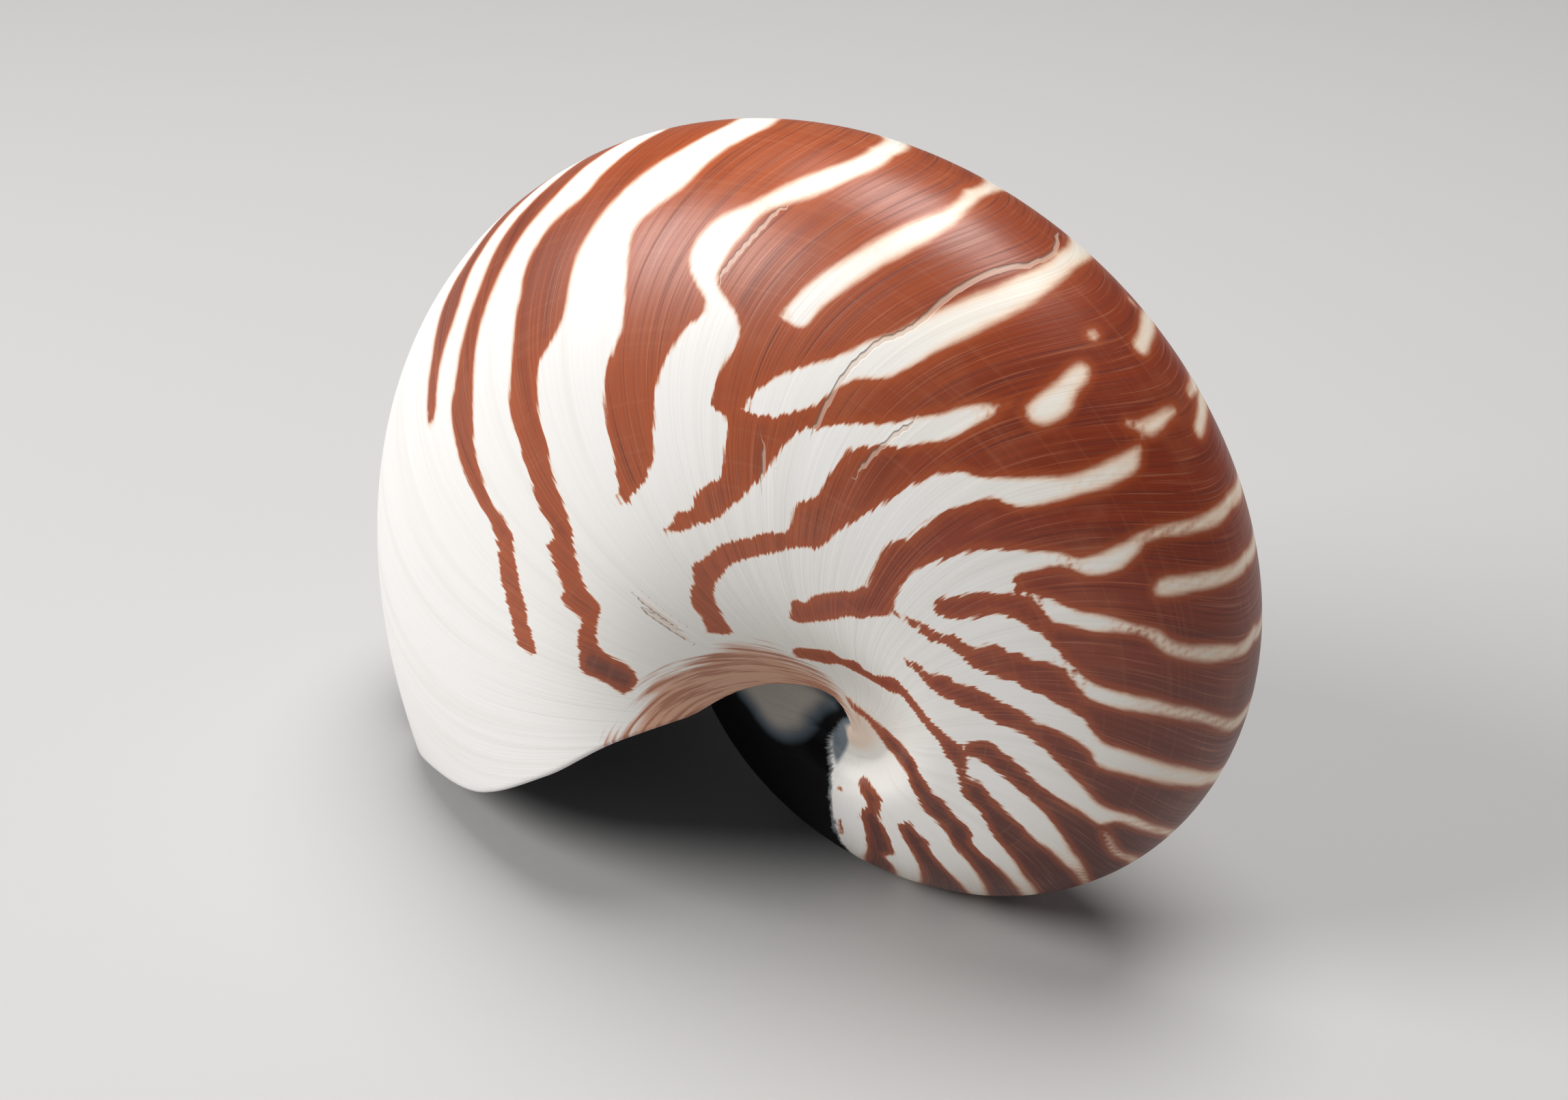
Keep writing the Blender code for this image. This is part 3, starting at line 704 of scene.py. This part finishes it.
def addShell():
    skin = shellSkin()
    points = np.concatenate(skin.points)
    angle, share, side, inside = np.concatenate(skin.where).T
    marks = markShell(angle, share, side)
    marks["inside"] = inside
    for name in ("stripe", "stain"):
        marks[name] = np.where(inside > 0.9, -markReach["far"], marks[name])
    marks["film"] = np.where(inside > 0.1, -markReach["far"], marks["film"])

    # the keel's underside is worn flat at the height of the lip's crests, and the box fits the frame's
    columns = np.linspace(0, 1, shellForm["lipSamples"])
    lip = lipOfColumns(columns)
    floorLevel = outerPoint(lip, shareOfColumn(columns, lip), -np.ones(len(columns)))[:, 2].min()
    points[:, 2] = np.maximum(points[:, 2], floorLevel)
    middle = (points.min(0) + points.max(0)) / 2
    low, high = (np.array(corner) / mm for corner in cadBox)
    shift = (low + high) / 2 - middle
    shift[2] = low[2] - floorLevel

    quads = np.concatenate(skin.quads)
    triangles = np.concatenate(skin.triangles)
    mesh = bpy.data.meshes.new("nautilusShell")
    mesh.from_pydata(((points + shift) * mm).tolist(), [], quads.tolist() + triangles.tolist())
    turned = bmesh.new()            # every face is turned outwards
    turned.from_mesh(mesh)
    bmesh.ops.recalc_face_normals(turned, faces=turned.faces)
    turned.to_mesh(mesh)
    turned.free()
    for name, values in marks.items():
        kind, slot = ("FLOAT", "value") if values.ndim == 1 else ("FLOAT_COLOR", "color")
        mesh.attributes.new(name, kind, "POINT").data.foreach_set(slot, values.astype(np.float32).ravel())
    mesh.update()
    mesh.shade_smooth()
    shell = bpy.data.objects.new("nautilusShell", mesh)
    bpy.context.scene.collection.objects.link(shell)
    print("shell surface:", len(quads) * 2 + len(triangles), "triangles")
    return shell, shift


# Aragonite, laid down in growth lines: a porcelain-like outer layer that is finely ribbed, with red-brown
# pigment inside it, so that stripes have an amber edge and, under the keel's thicker glaze, a warm glow.
aragonite = {
    "white": "#F5F3F0", "coolWhite": "#EAE8E8", "cream": "#E6E3DC", "keelCream": "#F7E9CF", "tan": "#D3A57F",
    "glow": "#EBB487", "amber": "#AC4E1F",
    "brown": "#862F0E", "brownBright": "#A14A20", "brownDeep": "#501909", "brownPurple": "#7F4433",
    "brownTip": "#55302B", "lineDark": "#5E1D0D", "linePale": "#C98462", "milk": "#B96E4B",
    "black": "#070607", "callus": "#C4BBB2", "blueFilm": "#5C6A75", "fringe": "#505B63",
    "stain": "#C68357", "stainDark": "#8E4524", "wrinkle": "#C9BDAE",
    # a scar's pale line is partly its own colour and partly a painted highlight, and its dark side is painted
    # shade
    "scarPaleAndHighlight": "#E2C4AE", "scarPaintedShade": "#2E150E",
    # painted shade: the chamber's inner wall is painted near-black instead of its pale nacre
    "chamberShade": "#0D0B0A",
    "growthLag": 18.5,         # degrees by which growth lines lag on the flank, and where they turn straight
    "growthBend": 0.6,
    "flankMm": 90.0,           # about as far as it is from the keel to the umbilicus
    "fibreLean": 0.09,         # the stain's fibres close in on the umbilicus
    "stainEnd": 0.93, "stainFadeMm": 60.0,
    # stripes are blurred under the keel's glaze, with the first values, and crisp on the flank, with the
    # second ones, and change between two flank positions
    "crispFlank": (0.2, 0.5), "blurMm": (0.62, 0.18), "glowMm": (1.5, 0.35),
    "toothedFlank": (0.3, 0.6), "teethMm": (0.15, 0.85), "teethByShare": 1.8, "leastTeeth": 0.55,
    # streaks: size in millimetres along the spiral, size from keel to umbilicus, and detail. Real growth
    # lines stand about 0.3 mm apart, and these are coarser so that they show.
    "fineLines": (0.5, 45.0, 3.0), "paleLines": (0.4, 22.0, 2.0), "bands": (4.5, 70.0, 2.0),
    "spirals": (45.0, 0.9, 1.0), "fibres": (50.0, 0.5, 3.0),
    "teeth": (1.1, 6.0, 3.0), "torn": (2.0, 5.0, 4.0),
    "clouds": (90.0, 3.0, 0.55), "mottle": (260.0, 3.0, 0.6),      # scale per metre, detail, roughness
    "relief": 0.5, "reliefEnds": (0.88, 0.95),      # growth lines fade where they meet at the pole
    "reliefMm": 0.14,
    "reliefFilter": 0.1,       # in pixels, as Blender's bump measures its steps
    "ior": 1.55, "coat": 0.06, "coatRoughness": 0.2,
}


def aragoniteMaterial():
    look = aragonite
    material = bpy.data.materials.new("glossy aragonite with flame stripes")
    material.use_nodes = True
    tree = material.node_tree
    shader = tree.nodes["Principled BSDF"]
    add = partial(addNode, tree)

    names = ("stripe", "growth", "across", "stain", "film", "blueFilm", "callus", "scar", "scarNear",
             "inside", "blur", "glow", "toothed", "fibre", "relief")
    marks = [add("Attribute", (), "Fac", attribute_name=name) for name in names]
    stripe, growthMm, across, stain, film, blueFilm, callus, scar, scarNear, *others = marks
    inside, blur, glow, toothed, fibre, relief = others
    ground, pigment = (add("Attribute", (), "Color", attribute_name=name) for name in ("ground", "pigment"))
    objectPlace = add("TexCoord", (), "Object")

    # lines along the lip, or along the spiral, as noise drawn out one way
    def streaks(pattern, crosswise=across):
        alongMm, acrossMm, detail = look[pattern]
        along = add("Math", (growthMm, alongMm), operation="DIVIDE")
        over = add("Math", (crosswise, acrossMm), operation="DIVIDE")
        place = add("CombineXYZ", (along, over, 0.0))
        return add("TexNoise", (place, 1.0, detail, 0.6), noise_dimensions="2D")

    # paints over a colour: each layer has what it follows, from where to where it comes in, and how strong
    def paintOver(colour, layers):
        for value, start, full, strength, over in layers:
            share = add("MapRange", (value, start, full, 0.0, strength), interpolation_type="SMOOTHSTEP")
            colour = add("Mix", (share, colour, paint(look[over])), data_type="RGBA")
        return colour

    fineLines, paleLines, bands, spirals = map(streaks, ("fineLines", "paleLines", "bands", "spirals"))
    clouds, mottle = (add("TexNoise", (objectPlace, *look[name])) for name in ("clouds", "mottle"))

    # the stripe's edge is set off by teeth that follow the growth lines
    teeth = add("MapRange", (streaks("teeth"), 0.25, 0.75, -0.6, 0.75))
    offset = add("Math", (teeth, toothed), operation="MULTIPLY")
    uneven = add("MapRange", (mottle, 0.25, 0.75, -0.15, 0.15))
    edge = add("Math", (add("Math", (stripe, offset), operation="ADD"), uneven), operation="ADD")
    edgeShare = add("Math", (edge, blur), operation="DIVIDE")
    glowShare = add("Math", (edge, glow), operation="DIVIDE")
    fibres = streaks("fibres", fibre)
    frayed = add("MapRange", (fibres, 0.25, 0.75, -1.5, 2.5))
    stainEdge = add("Math", (stain, frayed), operation="ADD")
    tears = add("MapRange", (streaks("torn"), 0.0, 1.0, -1.0, 1.0))
    torn = add("Math", (film, tears), operation="ADD")
    scarWidth = add("Math", (scar,), operation="ABSOLUTE")
    scarWithin = add("MapRange", (scarWidth, markReach["scarEdge"] + 0.1, markReach["scarEdge"] - 0.08),
                     interpolation_type="SMOOTHSTEP")
    scarLine = add("Math", (scarWithin, scarNear), operation="MULTIPLY")
    scarSide = add("MapRange", (scar, 0.0, markReach["scarEdge"]), interpolation_type="SMOOTHSTEP")
    scarShade = add("Math", (scarSide, scarLine), operation="MULTIPLY")

    white = paintOver(ground, (
        (fineLines, 0.45, 0.8, 0.12, "wrinkle"), (bands, 0.5, 0.8, 0.15, "wrinkle"),
        (stainEdge, -0.5, 2.5, 0.8, "stain"),
        (glowShare, -1.0, 0.1, 0.62, "glow")))
    stained = add("MapRange", (stainEdge, 0.0, 3.0), interpolation_type="SMOOTHSTEP")
    darkFibres = add("MapRange", (fibres, 0.42, 0.65), interpolation_type="SMOOTHSTEP")
    dark = add("Math", (stained, darkFibres), operation="MULTIPLY")
    white = paintOver(white, ((dark, 0.0, 1.0, 0.65, "stainDark"),))
    brown = paintOver(pigment, (
        (clouds, 0.5, 0.75, 0.25, "milk"), (bands, 0.45, 0.75, 0.4, "lineDark"),
        (fineLines, 0.5, 0.28, 0.65, "lineDark"), (paleLines, 0.54, 0.78, 0.3, "linePale"),
        (spirals, 0.55, 0.8, 0.08, "linePale"), (edge, 1.7, 0.3, 0.55, "amber")))
    brownShare = add("MapRange", (edgeShare, -1.0, 1.0), interpolation_type="SMOOTHSTEP")
    colour = add("Mix", (brownShare, white, brown), data_type="RGBA")
    # along each scar: a pale line, partly its own colour and partly a painted highlight, and painted shade on
    # its one side
    colour = paintOver(colour, (
        (scarLine, 0.0, 1.0, 0.5, "scarPaleAndHighlight"), (scarShade, 0.2, 0.8, 0.6, "scarPaintedShade")))

    # in the mouth: black film with a torn blue-grey fringe, a blue-grey skin and the callus, and the
    # chamber's inner wall painted near-black as painted shade
    colour = paintOver(colour, (
        (torn, -0.9, -0.3, 0.85, "fringe"), (blueFilm, -0.3, 0.6, 0.95, "blueFilm"),
        (torn, -0.4, 0.4, 1.0, "black"), (callus, -0.6, 1.2, 0.85, "blueFilm"),
        (callus, 0.6, 4.0, 0.95, "callus"), (inside, 0.5, 0.95, 1.0, "chamberShade")))

    height = add("Math", (bands, 1.2), operation="MULTIPLY")
    height = add("Math", (fineLines, 0.35, height), operation="MULTIPLY_ADD")
    height = add("Math", (scarLine, -0.6, height), operation="MULTIPLY_ADD")
    ribs = add("Bump", (relief, look["reliefMm"] * mm, look["reliefFilter"], height))
    # the rough growth lines take the edge off the gloss
    rough = add("MapRange", (fineLines, 0.25, 0.75, 0.5, 0.34))
    filmShare = add("Math", (add("MapRange", (torn, -0.4, 0.4)), inside), operation="MAXIMUM")
    rough = add("Mix", (filmShare, rough, 0.7))
    shine = add("MapRange", (filmShare, 0.0, 1.0, 0.5, 0.04))

    tree.links.new(colour, shader.inputs["Base Color"])
    tree.links.new(rough, shader.inputs["Roughness"])
    tree.links.new(shine, shader.inputs["Specular IOR Level"])
    tree.links.new(ribs, shader.inputs["Normal"])
    shader.inputs["IOR"].default_value = look["ior"]
    shader.inputs["Coat Weight"].default_value = look["coat"]
    shader.inputs["Coat Roughness"].default_value = look["coatRoughness"]
    return material


# the studio: a plain pale floor, one large soft light from above and one from the left front
studio = {
    "floorHalf": 2.5, "floorColour": "#BAB9B8", "floorRoughness": 0.85,
    "worldColour": "#E3E6EC", "worldStrength": 0.16,
    "keyFrom": (0.0, 0.2, 1.2), "keySize": 0.8, "keyPower": 13.5, "keyColour": "#FFFEFC",
    "fillFrom": (-0.8, -0.75, 0.85), "fillSize": 0.7, "fillPower": 15.0, "fillColour": "#FFFEFD",
    "aimHeight": 0.05,
}


def addStudio():
    half = studio["floorHalf"]
    mesh = bpy.data.meshes.new("studioFloor")
    corners = [(-half, -half, 0), (half, -half, 0), (half, half, 0), (-half, half, 0)]
    mesh.from_pydata(corners, [], [(0, 1, 2, 3)])
    floor = bpy.data.objects.new("studioFloor", mesh)
    bpy.context.scene.collection.objects.link(floor)
    material = bpy.data.materials.new("pale matt paper")
    material.use_nodes = True
    shader = material.node_tree.nodes["Principled BSDF"]
    shader.inputs["Base Color"].default_value = paint(studio["floorColour"])
    shader.inputs["Roughness"].default_value = studio["floorRoughness"]
    mesh.materials.append(material)

    bpy.context.scene.view_settings.view_transform = "Standard"     # whites stay paper white, as in the photo
    world = bpy.data.worlds.new("studio")
    world.use_nodes = True
    background = world.node_tree.nodes["Background"]
    background.inputs["Color"].default_value = paint(studio["worldColour"])
    background.inputs["Strength"].default_value = studio["worldStrength"]
    bpy.context.scene.world = world
    for name in ("key", "fill"):
        light = bpy.data.lights.new(name + "Light", "AREA")
        light.shape = "DISK"
        light.size = studio[name + "Size"]
        light.energy = studio[name + "Power"]
        light.color = paint(studio[name + "Colour"])[:3]
        lamp = bpy.data.objects.new(name + "Light", light)
        lamp.location = studio[name + "From"]
        aim = Vector((0, 0, studio["aimHeight"])) - lamp.location
        lamp.rotation_euler = aim.to_track_quat("-Z", "Y").to_euler()
        bpy.context.scene.collection.objects.link(lamp)


# the photo's view, measured from the coil's axis
view = {"azimuth": 28.908, "elevation": 33.51, "distanceMm": 308.54, "pan": 3.397, "tilt": -1.795,
        "lens": 46.12, "sensor": 36.0, "clipStart": 0.01}


def addCamera(axis):
    def away(azimuth, elevation):
        a, e = math.radians(azimuth), math.radians(elevation)
        return Vector((math.sin(a) * math.cos(e), -math.cos(a) * math.cos(e), math.sin(e)))

    data = bpy.data.cameras.new("photoView")
    data.lens, data.sensor_width = view["lens"], view["sensor"]
    data.clip_start = view["clipStart"]
    camera = bpy.data.objects.new("photoView", data)
    back = away(view["azimuth"] + view["pan"], view["elevation"] + view["tilt"])
    right = (-back).cross(Vector((0, 0, 1))).normalized()
    up = back.cross(right)
    place = (Vector(axis) + away(view["azimuth"], view["elevation"]) * view["distanceMm"]) * mm
    turn = Matrix((right, up, back)).transposed()
    camera.matrix_world = Matrix.LocRotScale(place, turn, None)
    bpy.context.scene.collection.objects.link(camera)
    bpy.context.scene.camera = camera


shell, axis = addShell()
shell.data.materials.append(aragoniteMaterial())
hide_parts("shell")
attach(shell, "root")
print("shell dressed")
addStudio()
addCamera(axis)
print("studio and camera placed")
